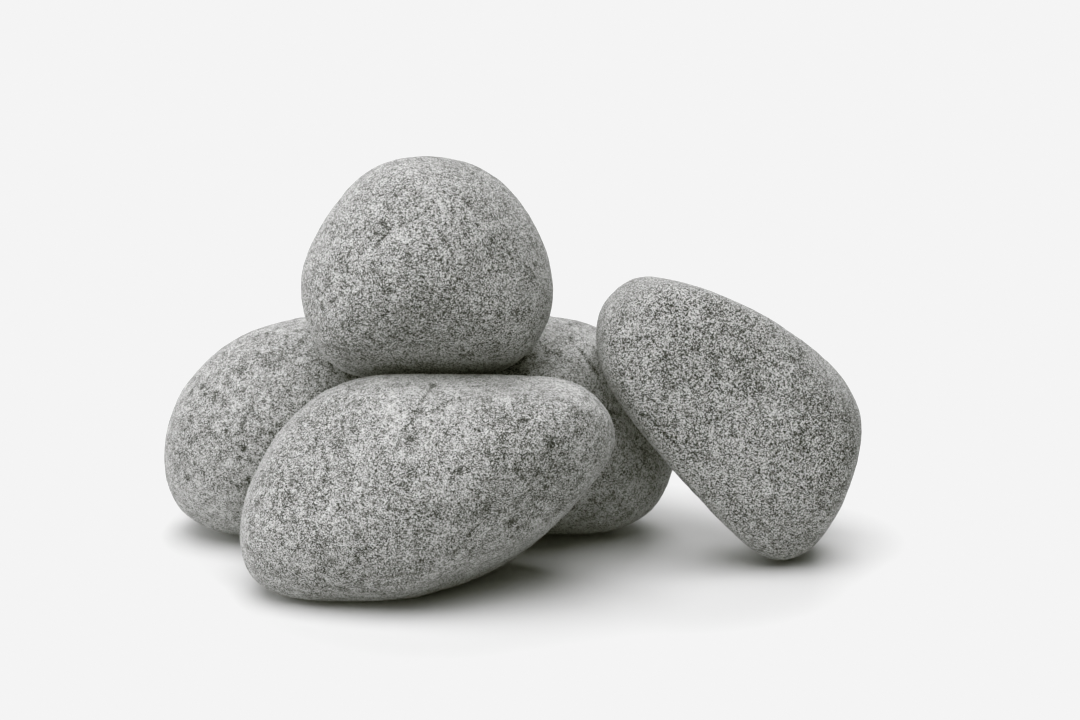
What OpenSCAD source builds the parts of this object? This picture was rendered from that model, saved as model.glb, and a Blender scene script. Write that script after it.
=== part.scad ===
// Five loose massage stones in a small pile, worn smooth like river pebbles.
// Three stones stand side by side, one rests in the hollow above them, and a flatter one
// stands on its lower corner and leans on the rear stone.
// X runs along the pile, Y runs from front to back and Z is up. The origin is the middle of
// the pile's base. Lengths are in millimetres and angles in degrees.

/* [Top stone] */
// Half sizes: across, front to back, up
top_half = [31.5, 29.5, 29.5]; // [24:0.5:36]
// Middle of the stone: along, back, up
top_place = [-27.5, 29, 75.5]; // [-60:0.5:90]
// How far the right end is turned up
top_tilt = 0; // [-20:1:20]

/* [Left stone] */
// Half sizes: across, front to back, up
left_half = [31.5, 28, 28.5]; // [22:0.5:36]
// Middle of the stone: along, back
left_place = [-65, 53]; // [-90:0.5:80]
// How far the right end is turned up
left_tilt = 0; // [-20:1:20]

/* [Front stone] */
// Half sizes: long way, front to back, thick way
front_half = [50, 28, 33]; // [22:0.5:54]
// Middle of the stone: along, back
front_place = [-27, 5]; // [-60:0.5:60]
// How far the right end is turned up
front_tilt = 28; // [10:1:40]

/* [Rear stone] */
// Half sizes: across, front to back, up
rear_half = [34, 28, 28.5]; // [22:0.5:38]
// Middle of the stone: along, back
rear_place = [1, 54]; // [-40:0.5:80]
// How far the right end is turned up
rear_tilt = 0; // [-20:1:20]

/* [Leaning stone] */
// Half sizes: long way, front to back, thick way
leaning_half = [41, 24, 26]; // [18:0.5:46]
// Middle of the stone: along, back
leaning_place = [47.5, 34]; // [20:0.5:80]
// How far the long way is turned up
leaning_tilt = 130; // [110:1:150]

/* [Surface] */
// Depth of the flat that a standing stone is worn to where it rests
rest_depth = 0.5; // [0.2:0.1:1.2]
// Crispness of the soft edges round the worn flats
crispness = 14; // [8:1:18]

/* [Hidden] */

// Steps of a stone's mesh from its front pole to its back pole
RINGS = 36;
// Steps of a stone's mesh round the front view
SIDES = 54;
// A block larger than the pile, whose underside is the ground
BLOCK = 600;

// Fullness of each stone seen from the front and from the side: 2 is an ellipse, and more is
// nearer to a rounded block
top_fullness = [3.4, 2.2];
left_fullness = [3.2, 2.2];
front_fullness = [2.6, 2.2];
rear_fullness = [3, 2.2];
leaning_fullness = [3, 2.8];

// Worn flats in the stone's own axes: the way the flat faces as seen from the front (0 right,
// 90 up, 180 left, 270 down), how far it is turned to the front, and its distance from the middle
top_flats = concat(
    [for (turn = [30:30:150], forward = [-50:25:50]) [turn, forward, 28.3]],
    [[208, 0, 34.3], [240, -30, 32.5], [270, 35, 27.5], [270, 62, 27.5], [285, -20, 30.5],
     [320, 0, 34]]);
left_flats = concat(
    [for (turn = [108, 135], forward = [-50:25:50]) [turn, forward, 26.3]],
    [[160, 0, 29], [345, 65, 26.3]]);
front_flats = [[15, 0, 48], [61, 0, 27.5], [125, 0, 40], [152, 0, 49.5], [200, 0, 49.5],
               [243, 0, 25.5], [272, 25, 23.8], [292, 10, 29.5], [63, 40, 29], [63, -40, 27.5],
               [95, 52, 26.5], [235, 45, 30], [298, 53, 26.5], [334, -60, 29]];
rear_flats = concat(
    [for (turn = [75, 135], forward = [-50:25:50]) [turn, forward, 29]],
    [[40, 0, 27.5], [25, 40, 25.5], [180, 60, 28]]);
leaning_flats = [[60, 0, 31], [91, 0, 19], [96, -30, 17.7], [212, 0, 33.5], [296, -18, 23],
                 [300, 78, 22.5], [320, 0, 36]];

// Direction that faces `turn` round the front view and `forward` towards the front
function facing(turn, forward) =
    [cos(forward) * cos(turn), -sin(forward), cos(forward) * sin(turn)];

function total(v) = v * [for (x = v) 1];

// Distance from the middle of the stone to its surface along direction u
function radius(half, fullness, flats, u) =
    let (
        outline = pow(abs(u[0] / half[0]), fullness[0]) + pow(abs(u[2] / half[2]), fullness[0]),
        depth = pow(abs(u[1] / half[1]), fullness[1]),
        block = pow(pow(outline, fullness[1] / fullness[0]) + depth, 1 / fullness[1]),
        worn = [for (f = flats)
            let (n = facing(f[0], f[1]))
            max(0, u * n / f[2])]
    )
    1 / pow(pow(block, crispness) + total([for (w = worn) pow(w, crispness)]), 1 / crispness);

// Point turned about the front-to-back axis, so that its +X end rises
function turned(p, tilt) =
    [p[0] * cos(tilt) - p[2] * sin(tilt), p[1], p[0] * sin(tilt) + p[2] * cos(tilt)];

// Points of a stone about its own middle: the front pole, the rings and the back pole
function stone_points(half, fullness, flats, tilt) =
    let (ways = concat(
        [facing(0, 90)],
        [for (i = [1:RINGS - 1], j = [0:SIDES - 1]) facing(360 * j / SIDES, 90 - 180 * i / RINGS)],
        [facing(0, -90)]))
    [for (u = ways) turned(u * radius(half, fullness, flats, u), tilt)];

// Index of a point on ring i at side j
function at(i, j) = 1 + (i - 1) * SIDES + j % SIDES;

// Triangles over the points of a stone, clockwise as seen from outside
STONE_FACES = let (last = 1 + (RINGS - 1) * SIDES) concat(
    [for (j = [0:SIDES - 1]) [0, at(1, j + 1), at(1, j)]],
    [for (i = [1:RINGS - 2], j = [0:SIDES - 1], near_front = [true, false])
        near_front ? [at(i, j), at(i, j + 1), at(i + 1, j + 1)]
                   : [at(i, j), at(i + 1, j + 1), at(i + 1, j)]],
    [for (j = [0:SIDES - 1]) [last, at(RINGS - 1, j), at(RINGS - 1, j + 1)]]);

// Height of a standing stone's middle, which leaves its lowest point below the ground
function standing(points) = -min([for (p = points) p[2]]) - rest_depth;

function moved(points, place) = [for (p = points) p + place];

function stood(points, place) = moved(points, [place[0], place[1], standing(points)]);

TOP = moved(stone_points(top_half, top_fullness, top_flats, top_tilt), top_place);
LEFT = stood(stone_points(left_half, left_fullness, left_flats, left_tilt), left_place);
FRONT = stood(stone_points(front_half, front_fullness, front_flats, front_tilt), front_place);
REAR = stood(stone_points(rear_half, rear_fullness, rear_flats, rear_tilt), rear_place);
LEANING = stood(stone_points(leaning_half, leaning_fullness, leaning_flats, leaning_tilt),
                leaning_place);

// Middle of the pile's base
PILE = concat(TOP, LEFT, FRONT, REAR, LEANING);
MIDDLE = [for (k = [0:1]) let (v = [for (p = PILE) p[k]]) (min(v) + max(v)) / 2];

// One stone in its place in the pile
module stone(points) {
    translate([-MIDDLE[0], -MIDDLE[1], 0])
        polyhedron(points, STONE_FACES, convexity = 2);
}

// One stone that stands on the ground, with its rest worn flat
module standing_stone(points) {
    intersection() {
        stone(points);
        translate([-BLOCK / 2, -BLOCK / 2, 0]) cube(BLOCK);
    }
}

module top_stone() { color("darkgray") stone(TOP); }

module left_stone() { color("darkgray") standing_stone(LEFT); }

module front_stone() { color("gray") standing_stone(FRONT); }

module rear_stone() { color("gray") standing_stone(REAR); }

module leaning_stone() { color("darkgray") standing_stone(LEANING); }

top_stone();
left_stone();
front_stone();
rear_stone();
leaning_stone();
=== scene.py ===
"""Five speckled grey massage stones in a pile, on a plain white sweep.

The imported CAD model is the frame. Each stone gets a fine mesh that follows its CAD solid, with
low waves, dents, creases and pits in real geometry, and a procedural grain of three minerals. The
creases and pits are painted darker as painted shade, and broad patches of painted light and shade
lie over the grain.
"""
import math
import random

import bpy
import numpy as np
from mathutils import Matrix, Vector, noise
from mathutils.bvhtree import BVHTree


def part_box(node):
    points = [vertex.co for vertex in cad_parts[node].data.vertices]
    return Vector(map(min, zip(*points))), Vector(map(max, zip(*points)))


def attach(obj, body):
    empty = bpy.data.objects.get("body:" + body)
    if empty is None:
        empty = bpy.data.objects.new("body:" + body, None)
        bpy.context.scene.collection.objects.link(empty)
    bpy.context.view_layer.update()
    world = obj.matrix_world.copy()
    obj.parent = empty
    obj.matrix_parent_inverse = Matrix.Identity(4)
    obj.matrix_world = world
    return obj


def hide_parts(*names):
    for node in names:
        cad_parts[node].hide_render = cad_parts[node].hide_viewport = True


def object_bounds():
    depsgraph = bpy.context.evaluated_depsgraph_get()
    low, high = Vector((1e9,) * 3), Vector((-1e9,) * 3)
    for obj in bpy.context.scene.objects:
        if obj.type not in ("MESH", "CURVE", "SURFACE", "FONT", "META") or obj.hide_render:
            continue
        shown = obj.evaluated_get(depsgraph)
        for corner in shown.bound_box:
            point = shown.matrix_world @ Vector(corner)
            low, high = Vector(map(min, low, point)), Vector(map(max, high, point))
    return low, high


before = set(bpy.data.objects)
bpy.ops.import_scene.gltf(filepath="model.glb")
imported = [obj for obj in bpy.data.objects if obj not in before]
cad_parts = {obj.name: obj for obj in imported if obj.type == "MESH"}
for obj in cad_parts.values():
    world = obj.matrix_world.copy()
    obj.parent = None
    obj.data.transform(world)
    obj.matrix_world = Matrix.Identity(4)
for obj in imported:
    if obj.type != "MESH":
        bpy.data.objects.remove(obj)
CAD_LOW, CAD_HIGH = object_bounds()

MM = 0.001
STONES = ("top", "left", "front", "rear", "leaning")

# ---------------------------------------------------------------- camera, lights and ground

CAMERA_FOCAL = 120.0                    # lens length in mm
CAMERA_SENSOR = 36.0                    # width of the sensor in mm
CAMERA_DISTANCE = 900 * MM
CAMERA_ELEVATION = math.radians(15)
# The camera aims a little right of the pile's middle and behind it
AIM_SHIFT = Vector((8.0, 10.5, -2.8)) * MM
# The lights aim at the lower half of the pile
LIGHT_AIM = Vector((0, 0, 0.04))
# Strength of the surround as a light, and as the white that the camera sees past the sweep
SURROUND_LIGHT = 0.05
SURROUND_SEEN = 1.1
PAPER_GREY = 0.65
PAPER_ROUGHNESS = 0.9


def add_camera():
    """The photograph's view: from the front and a little above, looking along +Y."""
    data = bpy.data.cameras.new("camera")
    data.lens = CAMERA_FOCAL
    data.sensor_width = CAMERA_SENSOR
    data.clip_start = 0.01
    data.clip_end = 20.0
    camera = bpy.data.objects.new("camera", data)
    bpy.context.scene.collection.objects.link(camera)
    aim = (CAD_LOW + CAD_HIGH) / 2 + AIM_SHIFT
    away = Vector((0, -math.cos(CAMERA_ELEVATION), math.sin(CAMERA_ELEVATION)))
    camera.location = aim + away * CAMERA_DISTANCE
    camera.rotation_euler = (-away).to_track_quat("-Z", "Y").to_euler()
    bpy.context.scene.camera = camera


def add_softbox(name, place, size, watts):
    """A square area light at `place` that faces the pile, with its size in metres."""
    data = bpy.data.lights.new(name, "AREA")
    data.shape = "SQUARE"
    data.size = size
    data.energy = watts
    light = bpy.data.objects.new(name, data)
    bpy.context.scene.collection.objects.link(light)
    light.location = place
    light.rotation_euler = (LIGHT_AIM - Vector(place)).to_track_quat("-Z", "Y").to_euler()


def add_lights():
    """A broad key overhead, a low light on the left, one behind and a weak fill in front."""
    add_softbox("overhead", (-0.3, -0.8, 2.45), 2.8, 116.0)
    add_softbox("left", (-2.4, 0.1, 0.55), 1.8, 44.0)
    add_softbox("behind", (0.3, 1.75, 1.9), 1.4, 46.0)
    add_softbox("front", (-1.2, -2.2, 0.7), 1.4, 9.0)


def add_surround():
    """A dim surround for the light, which the camera sees as white past the sweep."""
    world = bpy.data.worlds.new("surround")
    world.use_nodes = True
    nodes, links = world.node_tree.nodes, world.node_tree.links
    dim = nodes["Background"]
    dim.inputs["Color"].default_value = (1, 1, 1, 1)
    dim.inputs["Strength"].default_value = SURROUND_LIGHT
    white = nodes.new("ShaderNodeBackground")
    white.inputs["Color"].default_value = (1, 1, 1, 1)
    white.inputs["Strength"].default_value = SURROUND_SEEN
    seen = nodes.new("ShaderNodeLightPath").outputs["Is Camera Ray"]
    mix = nodes.new("ShaderNodeMixShader")
    links.new(seen, mix.inputs[0])
    links.new(dim.outputs[0], mix.inputs[1])
    links.new(white.outputs[0], mix.inputs[2])
    links.new(mix.outputs[0], nodes["World Output"].inputs["Surface"])
    bpy.context.scene.world = world


# Points of the tone curves, as brightness in and out. All three colours level off just under full
# white, and the darks keep a little more green and less blue, as grey stone does in a photograph.
WHITES = [(0.7, 0.68), (1.0, 0.905)]
GREEN_DARKS = [(0.1, 0.102), (0.5, 0.5)]
BLUE_DARKS = [(0.012, 0.008), (0.1, 0.092), (0.25, 0.243), (0.5, 0.497)]


def set_tone_curves():
    """Plain display colours with the tone curves above."""
    view = bpy.context.scene.view_settings
    view.view_transform = "Standard"
    view.look = "None"
    view.use_curve_mapping = True
    curves = view.curve_mapping
    curves.extend = "HORIZONTAL"
    _, green, blue, combined = curves.curves
    combined.points[1].location = WHITES[-1]
    for curve, points in ((combined, WHITES[:-1]), (green, GREEN_DARKS), (blue, BLUE_DARKS)):
        for point in points:
            curve.points.new(*point)
    curves.update()


def add_sweep():
    """A pale ground that curves up behind the stones."""
    half_width, near, bend_start, bend_radius, top = 2.2, -2.2, 1.2, 0.8, 3.0
    bend_steps = 16
    profile = [(near, 0.0), (bend_start, 0.0)]
    for i in range(1, bend_steps + 1):
        a = math.pi / 2 * i / bend_steps
        profile.append((bend_start + bend_radius * math.sin(a), bend_radius * (1 - math.cos(a))))
    profile.append((bend_start + bend_radius, top))
    verts = [(x, y, z) for y, z in profile for x in (-half_width, half_width)]
    faces = [(2 * i, 2 * i + 1, 2 * i + 3, 2 * i + 2) for i in range(len(profile) - 1)]
    mesh = bpy.data.meshes.new("sweep")
    mesh.from_pydata(verts, [], faces)
    mesh.shade_smooth()
    sweep = bpy.data.objects.new("sweep", mesh)
    bpy.context.scene.collection.objects.link(sweep)
    material = bpy.data.materials.new("pale_paper")
    material.use_nodes = True
    shader = material.node_tree.nodes["Principled BSDF"]
    shader.inputs["Base Color"].default_value = (PAPER_GREY, PAPER_GREY, PAPER_GREY, 1)
    shader.inputs["Roughness"].default_value = PAPER_ROUGHNESS
    mesh.materials.append(material)


# ---------------------------------------------------------------- stone meshes

GRID = 128            # squares along one edge of the cube that each stone's mesh starts from
SMOOTHING = 40        # passes that take the CAD facets out of the mesh
ROOM_SHARE = 0.4      # share of the gap to the next stone that the relief may stand out by


def cube_sphere(n):
    """Directions and quads of a cube blown up to a ball, with n squares along an edge."""
    decimals = 5          # to which two corners on a shared edge agree
    index, directions, quads = {}, [], []
    angles = np.tan(np.linspace(-math.pi / 4, math.pi / 4, n + 1))
    frames = [((1, 0, 0), (0, 1, 0), (0, 0, 1)), ((-1, 0, 0), (0, 0, 1), (0, 1, 0)),
              ((0, 1, 0), (0, 0, 1), (1, 0, 0)), ((0, -1, 0), (1, 0, 0), (0, 0, 1)),
              ((0, 0, 1), (1, 0, 0), (0, 1, 0)), ((0, 0, -1), (0, 1, 0), (1, 0, 0))]
    for out, right, up in frames:
        out, right, up = Vector(out), Vector(right), Vector(up)
        ids = []
        for i in range(n + 1):
            for j in range(n + 1):
                point = (out + right * angles[i] + up * angles[j]).normalized()
                key = tuple(round(c, decimals) for c in point)
                if key not in index:
                    index[key] = len(directions)
                    directions.append(point)
                ids.append(index[key])
        for i in range(n):
            for j in range(n):
                a = i * (n + 1) + j
                quads.append((ids[a], ids[a + n + 1], ids[a + n + 2], ids[a + 1]))
    return directions, quads


def edge_pairs(quads):
    """Each edge of the quads once, as two arrays of vertex numbers."""
    q = np.array(quads)
    pairs = np.sort(np.concatenate([q[:, [0, 1]], q[:, [1, 2]], q[:, [2, 3]], q[:, [3, 0]]]), axis=1)
    pairs = np.unique(pairs, axis=0)
    return pairs[:, 0], pairs[:, 1]


def smoothed(values, edges, passes):
    """Values after each has moved halfway to its neighbours' mean, `passes` times."""
    a, b = edges
    count = np.bincount(a, minlength=len(values)) + np.bincount(b, minlength=len(values))
    for _ in range(passes):
        near = np.bincount(a, values[b], len(values)) + np.bincount(b, values[a], len(values))
        values = 0.5 * values + 0.5 * near / count
    return values


def cad_tree(node):
    """Search tree over a CAD node's faces."""
    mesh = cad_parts[node].data
    return BVHTree.FromPolygons([v.co.copy() for v in mesh.vertices],
                                [tuple(p.vertices) for p in mesh.polygons])


DIRECTIONS, QUADS = cube_sphere(GRID)
EDGES = edge_pairs(QUADS)
TREES = {name: cad_tree(name + "_stone") for name in STONES}


def stone_radii(name, middle):
    """Distance from the stone's middle to its smoothed CAD skin in every mesh direction."""
    radii = np.zeros(len(DIRECTIONS))
    for i, way in enumerate(DIRECTIONS):
        _, _, _, radii[i] = TREES[name].ray_cast(middle, way)
    return smoothed(radii, EDGES, SMOOTHING)


# ---------------------------------------------------------------- marks on the stones

# A way is (turn, forward) in degrees from a stone's middle: turn goes round the front view, from 0
# on the right to 90 at the top, and forward tips the way towards the front.

# Cracks: the ways along each one, its depth and its half width in mm. Each is painted darker inside,
# as painted shade in the crack.
CRACKS = {
    "top": [([(84, 44), (93, 49), (110, 52), (118, 52)], 0.30, 0.35),
            ([(122, 53), (133, 54)], 0.15, 0.35)],
    "front": [([(86, 6), (88, 15)], 0.30, 0.5),
              ([(89, 18), (93, 28)], 0.45, 0.35),
              ([(99, 38), (107, 43), (114, 49)], 0.35, 0.35),
              ([(70, 20), (81, 29), (87, 34)], 0.20, 0.4)],
    "leaning": [([(144, 22), (138, 27), (130, 30)], 0.20, 0.5),
                ([(151, 62), (160, 66)], 0.20, 0.4)],
    "left": [([(150, 30), (140, 38)], 0.15, 0.4)],
    "rear": [([(75, 20), (62, 32), (50, 36)], 0.20, 0.5)],
}
# Chips: way, radius and depth in mm. They are painted darker inside, as painted shade in the hollow.
CHIPS = {
    "top": [(66, 12, 0.7, 0.3), (122, 47, 1.0, 0.2), (70, 60, 0.8, 0.2), (84, 66, 1.1, 0.2)],
    "front": [(87, 10, 1.1, 0.4), (96, 33, 0.9, 0.4), (101, 46, 1.4, 0.4), (99, 10, 0.7, 0.3),
              (58, 41, 0.9, 0.4), (43, 41, 0.9, 0.5), (28, 30, 1.0, 0.4), (26, 21, 1.3, 0.5),
              (6, 59, 1.3, 0.5), (-9, 42, 1.5, 0.4), (-5, 20, 1.3, 0.4), (-150, 40, 0.9, 0.3)],
    "leaning": [(141, 46, 1.1, 0.4), (103, 6, 0.9, 0.3), (64, 58, 1.2, 0.3), (150, 60, 0.9, 0.3),
                (40, 36, 1.1, 0.2), (-60, 50, 0.9, 0.3)],
    "left": [(173, 71, 1.0, 0.3), (147, 39, 0.8, 0.3), (-160, 39, 0.8, 0.3)],
    "rear": [(-24, 55, 0.9, 0.3)],
}
# Pale grains: way and radius in mm
PALE_GRAINS = {
    "top": [(110, 58, 1.9), (46, 49, 1.7), (84, 52, 1.3), (100, 66, 1.6)],
    "front": [(104, 36, 1.6), (112, 55, 1.5), (87, 42, 1.4)],
    "leaning": [(133, 25, 1.9), (128, 34, 1.4), (140, 36, 1.2), (30, 60, 1.8)],
    "left": [(110, 40, 1.6)],
    "rear": [],
}
# Broad dents: way, radius and depth in mm
DENTS = {
    "top": [(150, 10, 9.0, 0.5)],
    "front": [(54, 4, 9.0, 0.6), (-124, 30, 7.0, 0.5), (75, 45, 8.0, 0.3)],
    "leaning": [(80, 55, 9.0, 0.3), (-40, 60, 10.0, 0.3)],
    "left": [(130, 45, 10.0, 0.4)],
    "rear": [(-60, 40, 9.0, 0.3)],
}
# Broad paler or darker areas, partly the rock's own tone and partly painted light and shade that
# evens out how the lights fall on each stone: way, radius in mm and tone
TONE_AND_PAINTED_LIGHT = {
    "top": [(-90, 75, 14.0, -0.25), (-90, 42, 11.0, 0.3), (-145, 40, 10.0, -0.2),
            (90, 30, 12.0, 0.15)],
    "front": [(92, 22, 15.0, 0.4), (35, 3, 9.0, 0.4), (20, 30, 12.0, -0.3),
              (148, 64, 12.0, -0.15)],
    "leaning": [(-2, 30, 12.0, -0.6), (125, 40, 9.0, -0.15), (142, 20, 9.0, 0.2),
                (-60, 70, 14.0, 0.15)],
    "left": [(-135, 42, 12.0, 0.25), (175, 45, 12.0, -0.1)],
    "rear": [(60, 15, 14.0, 0.3)],
}
# Scattered marks on each stone, over and above the placed ones: how many there are, and their
# least and greatest radius and depth in mm
CHIP_COUNT, CHIP_RADII, CHIP_DEPTHS = 50, (0.4, 0.9), (0.1, 0.3)
GRAIN_COUNT, GRAIN_RADII = 30, (0.8, 1.4)
CRACK_COUNT, CRACK_HALF_WIDTH, CRACK_DEPTHS = 4, 0.4, (0.1, 0.25)
DENT_COUNT, DENT_RADII, DENT_DEPTHS = 6, (7.0, 12.0), (0.2, 0.4)
CRACK_REACH = 0.35          # greatest length of a scattered crack as a share of the stone's radius
FIRST_SEED = 11             # seed of the first stone's scattered marks
# Relief all over: waves in a metre and their height in mm, from broad swells to single grains
WAVES = [(38, 0.45), (120, 0.18), (420, 0.10), (1300, 0.06)]
WANDER_WAVES, WANDER = 500, 0.3     # waves in a metre and reach in mm of the marks' outlines
NOISE_STEP = Vector((7.3, 1.9, 4.1))    # metres in the noise between one stone and the next
GRAIN_TONE, GRAIN_EDGE = 0.45, 4    # paleness of a pale grain, and how crisp its edge is
HOLLOW_PAINTED_SHADE = 0.9                   # painted shade inside a chip or crack: how much darker it is painted


# Without a seed, noise_vector differs from run to run
NOISE_SEED = 1
noise.seed_set(NOISE_SEED)


def way_vector(turn, forward):
    """Unit vector of a way."""
    t, f = math.radians(turn), math.radians(forward)
    return Vector((math.cos(f) * math.cos(t), -math.sin(f), math.cos(f) * math.sin(t)))


def random_way(rng):
    """Unit vector that faces any way with equal chance."""
    return Vector([rng.gauss(0, 1) for _ in range(3)]).normalized()


def arc(corners):
    """Unit vectors close together along the line through the corners."""
    steps = 12
    line = [a.slerp(b, k / steps) for a, b in zip(corners, corners[1:]) for k in range(steps)]
    return line + [corners[-1]]


def marks_of(name):
    """All marks of a stone as (kind, unit vectors along it, width, depth or tone), in mm."""
    rng = random.Random(STONES.index(name) + FIRST_SEED)
    marks = [("crack", arc([way_vector(*w) for w in ways]), width, depth)
             for ways, depth, width in CRACKS[name]]
    marks += [("chip", [way_vector(*way)], radius, depth) for *way, radius, depth in CHIPS[name]]
    marks += [("grain", [way_vector(*way)], radius, 0.0) for *way, radius in PALE_GRAINS[name]]
    marks += [("dent", [way_vector(*way)], radius, depth) for *way, radius, depth in DENTS[name]]
    marks += [("shade", [way_vector(*way)], radius, tone_and_painted_light) for *way, radius, tone_and_painted_light in TONE_AND_PAINTED_LIGHT[name]]
    for _ in range(CHIP_COUNT):
        way = [random_way(rng)]
        marks.append(("chip", way, rng.uniform(*CHIP_RADII), rng.uniform(*CHIP_DEPTHS)))
    for _ in range(GRAIN_COUNT):
        marks.append(("grain", [random_way(rng)], rng.uniform(*GRAIN_RADII), 0.0))
    for _ in range(CRACK_COUNT):
        start = random_way(rng)
        end = (start + CRACK_REACH * random_way(rng)).normalized()
        marks.append(("crack", arc([start, end]), CRACK_HALF_WIDTH, rng.uniform(*CRACK_DEPTHS)))
    for _ in range(DENT_COUNT):
        way = [random_way(rng)]
        marks.append(("dent", way, rng.uniform(*DENT_RADII), rng.uniform(*DENT_DEPTHS)))
    return marks


def relief(name, points, radii):
    """Height in mm to add at each point, and its tone with painted light and shade: below 0 is
    darker and above 0 is paler.
    """
    seed = NOISE_STEP * (1 + STONES.index(name))
    heights, tones_and_painted_light = np.zeros(len(points)), np.zeros(len(points))
    wander = np.zeros((len(points), 3))
    for i, p in enumerate(points):
        heights[i] = sum(height * noise.noise(p * waves + seed) for waves, height in WAVES)
        wander[i] = noise.noise_vector(p * WANDER_WAVES + seed)
    ways = np.array(DIRECTIONS) + WANDER * wander * MM / radii[:, None]
    ways /= np.linalg.norm(ways, axis=1)[:, None]
    for kind, line, width, amount in marks_of(name):
        nearness = (ways @ np.array(line).T).max(axis=1)
        away = np.sqrt(np.maximum(0, 2 - 2 * nearness)) * radii / MM / width
        bowl = np.exp(-away ** 2)
        # Broad patches: partly the rock's own tone, partly painted light and shade
        if kind == "shade":
            tones_and_painted_light += amount * bowl
        elif kind == "grain":
            tones_and_painted_light += GRAIN_TONE / (1 + np.exp((away - 1) * GRAIN_EDGE))
        else:
            heights -= amount * bowl
            # Chips and cracks are also painted darker: painted shade in the hollow
            if kind != "dent":
                tones_and_painted_light -= HOLLOW_PAINTED_SHADE * bowl
    return heights, tones_and_painted_light


def make_stone(name):
    """The stone's mesh object, riding on its body in place of its CAD node."""
    node = name + "_stone"
    low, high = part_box(node)
    middle = (low + high) / 2
    radii = stone_radii(name, middle)
    points = [middle + way * r for way, r in zip(DIRECTIONS, radii)]
    heights, tones_and_painted_light = relief(name, points, radii)
    others = [TREES[other] for other in STONES if other != name]
    for i, p in enumerate(points):
        lift = heights[i] * MM
        if lift > 0:
            room = min(tree.find_nearest(p)[3] for tree in others)
            lift = min(lift, ROOM_SHARE * room)
        points[i] = p + DIRECTIONS[i] * lift
        points[i].z = max(points[i].z, low.z)
    mesh = bpy.data.meshes.new(name + "_rock")
    mesh.from_pydata(points, [], QUADS)
    # Tone per point, with its painted light and shade, for the material
    mesh.attributes.new("tone_and_painted_light", "FLOAT", "POINT").data.foreach_set("value", tones_and_painted_light)
    mesh.shade_smooth()
    piece = bpy.data.objects.new(name + "_rock", mesh)
    bpy.context.scene.collection.objects.link(piece)
    mesh.materials.append(stone_material(name))
    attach(piece, name)
    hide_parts(node)


# ---------------------------------------------------------------- stone material

# Single grains: how many in a mm, and their weight
CELL_SCALE, CELL_WEIGHT = 3.3, 0.7
# Fine noise between the grains: scale in a mm, detail and weight
FINE_SCALE, FINE_DETAIL, FINE_WEIGHT = 4.5, 0.0, 1.5
# Clusters of dark grains and slow mottling: scale in a mm, detail and weight
CLUSTER_SCALE, CLUSTER_DETAIL, CLUSTER_WEIGHT = 0.5, 2.0, 0.6
MOTTLE_SCALE, MOTTLE_DETAIL, MOTTLE_WEIGHT = 0.16, 2.0, 0.35
TONE_AND_PAINTED_LIGHT_WEIGHT = 0.3     # weight of the marks' tone, painted light and shade among it
# Contrast of the grain on each stone
CONTRAST = {"top": 1.05, "left": 0.7, "front": 0.9, "rear": 0.7, "leaning": 1.35}
# Position in the blend and grey of the rock, from its darkest grains to its palest
GREYS = [(0.12, 0.008), (0.36, 0.08), (0.5, 0.235), (0.7, 0.37), (1.0, 0.56)]
WARMTH = 0.985        # blue as a share of red and green
SURFACE = {"Roughness": 0.75, "Specular IOR Level": 0.3,
           "Sheen Weight": 0.18, "Sheen Roughness": 0.4}
# Bump of the grain: strength, height in mm, the scale in a mm, detail and roughness of its own
# noise, and how much the pale grains stand out
BUMP_STRENGTH, BUMP_HEIGHT = 0.9, 0.2
BUMP_NOISE = (1.8, 3.0, 0.6)
BUMP_BLEND = 0.4
PATTERN_STEP = 37.0   # mm between the parts of the pattern that two stones are cut from


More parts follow.
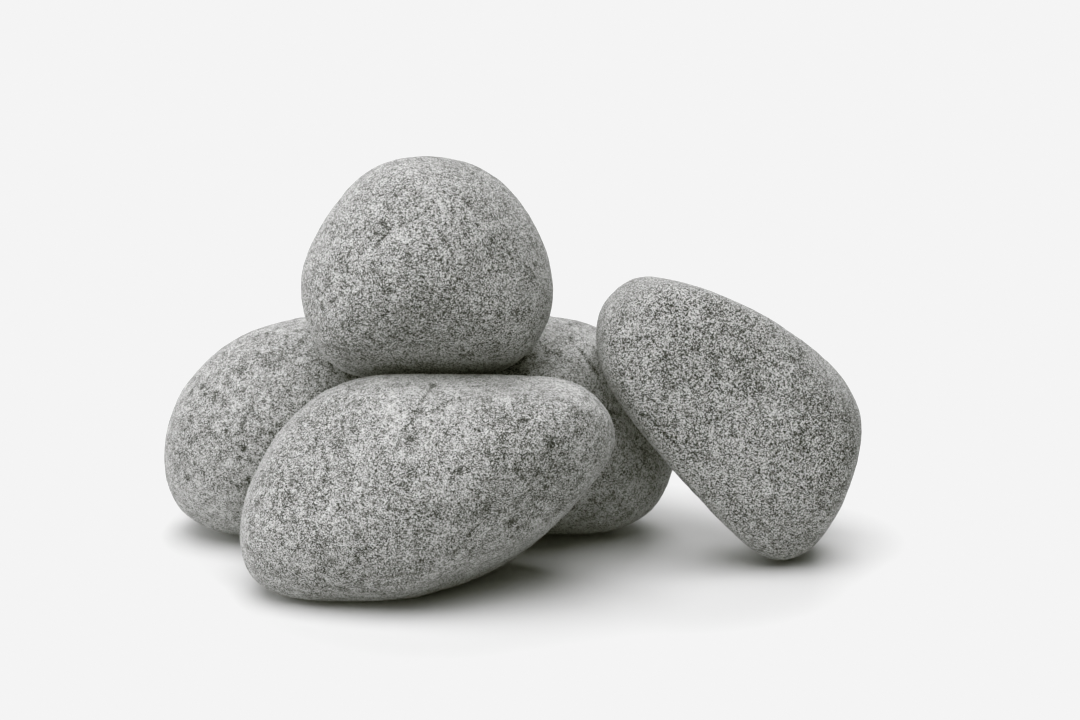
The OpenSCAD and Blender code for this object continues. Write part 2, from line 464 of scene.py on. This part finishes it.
def stone_material(name):
    """Speckled grey rock: pale, mid and dark grains under a millimetre, in clusters, with the marks'
    tone and painted light and shade over them.
    """
    material = bpy.data.materials.new(name + "_rock")
    material.use_nodes = True
    tree = material.node_tree
    nodes, links = tree.nodes, tree.links
    shader = nodes["Principled BSDF"]
    for socket, value in SURFACE.items():
        shader.inputs[socket].default_value = value

    def add(kind, **settings):
        made = nodes.new(kind)
        for key, value in settings.items():
            setattr(made, key, value)
        return made

    def scaled_noise(scale, detail, roughness=0.5):
        made = add("ShaderNodeTexNoise")
        made.inputs["Scale"].default_value = scale
        made.inputs["Detail"].default_value = detail
        made.inputs["Roughness"].default_value = roughness
        links.new(grain_place, made.inputs["Vector"])
        return made.outputs["Fac"]

    def math_node(operation, a, b):
        made = add("ShaderNodeMath", operation=operation)
        for socket, value in zip(made.inputs, (a, b)):
            if isinstance(value, (int, float)):
                socket.default_value = value
            else:
                links.new(value, socket)
        return made.outputs[0]

    place = add("ShaderNodeTexCoord").outputs["Object"]
    mapping = add("ShaderNodeMapping")
    links.new(place, mapping.inputs["Vector"])
    mapping.inputs["Scale"].default_value = (1 / MM, 1 / MM, 1 / MM)
    mapping.inputs["Location"].default_value = (PATTERN_STEP * STONES.index(name), 0, 0)
    grain_place = mapping.outputs["Vector"]

    cells = add("ShaderNodeTexVoronoi")
    cells.inputs["Scale"].default_value = CELL_SCALE
    links.new(grain_place, cells.inputs["Vector"])
    cell_value = add("ShaderNodeSeparateColor")
    links.new(cells.outputs["Color"], cell_value.inputs["Color"])
    # The marks' tone, which holds painted shade in the hollows and broad painted light and shade
    tone_and_painted_light = add("ShaderNodeAttribute", attribute_name="tone_and_painted_light").outputs["Fac"]

    # Each layer: its value, the middle of its range and its weight in the blend
    contrast = CONTRAST[name]
    layers = [(cell_value.outputs[0], 0.5, CELL_WEIGHT * contrast),
              (scaled_noise(FINE_SCALE, FINE_DETAIL), 0.5, FINE_WEIGHT * contrast),
              (scaled_noise(CLUSTER_SCALE, CLUSTER_DETAIL), 0.5, CLUSTER_WEIGHT),
              (scaled_noise(MOTTLE_SCALE, MOTTLE_DETAIL), 0.5, MOTTLE_WEIGHT),
              (tone_and_painted_light, 0.0, TONE_AND_PAINTED_LIGHT_WEIGHT)]
    blend = 0.5           # the middle of the ramp
    for source, middle, weight in layers:
        part = math_node("MULTIPLY", math_node("SUBTRACT", source, middle), weight)
        blend = math_node("ADD", part, blend)

    ramp = add("ShaderNodeValToRGB")
    ramp.color_ramp.elements[0].position = GREYS[0][0]
    ramp.color_ramp.elements[1].position = GREYS[-1][0]
    for position, _ in GREYS[1:-1]:
        ramp.color_ramp.elements.new(position)
    for element, (_, grey) in zip(ramp.color_ramp.elements, GREYS):
        element.color = (grey, grey, grey * WARMTH, 1)
    links.new(blend, ramp.inputs["Fac"])
    links.new(ramp.outputs["Color"], shader.inputs["Base Color"])

    bump = add("ShaderNodeBump")
    bump.inputs["Strength"].default_value = BUMP_STRENGTH
    bump.inputs["Distance"].default_value = BUMP_HEIGHT * MM
    grain_height = math_node("MULTIPLY", blend, BUMP_BLEND)
    links.new(math_node("ADD", scaled_noise(*BUMP_NOISE), grain_height), bump.inputs["Height"])
    links.new(bump.outputs["Normal"], shader.inputs["Normal"])
    return material


add_camera()
add_lights()
add_surround()
set_tone_curves()
add_sweep()
for stone in STONES:
    make_stone(stone)
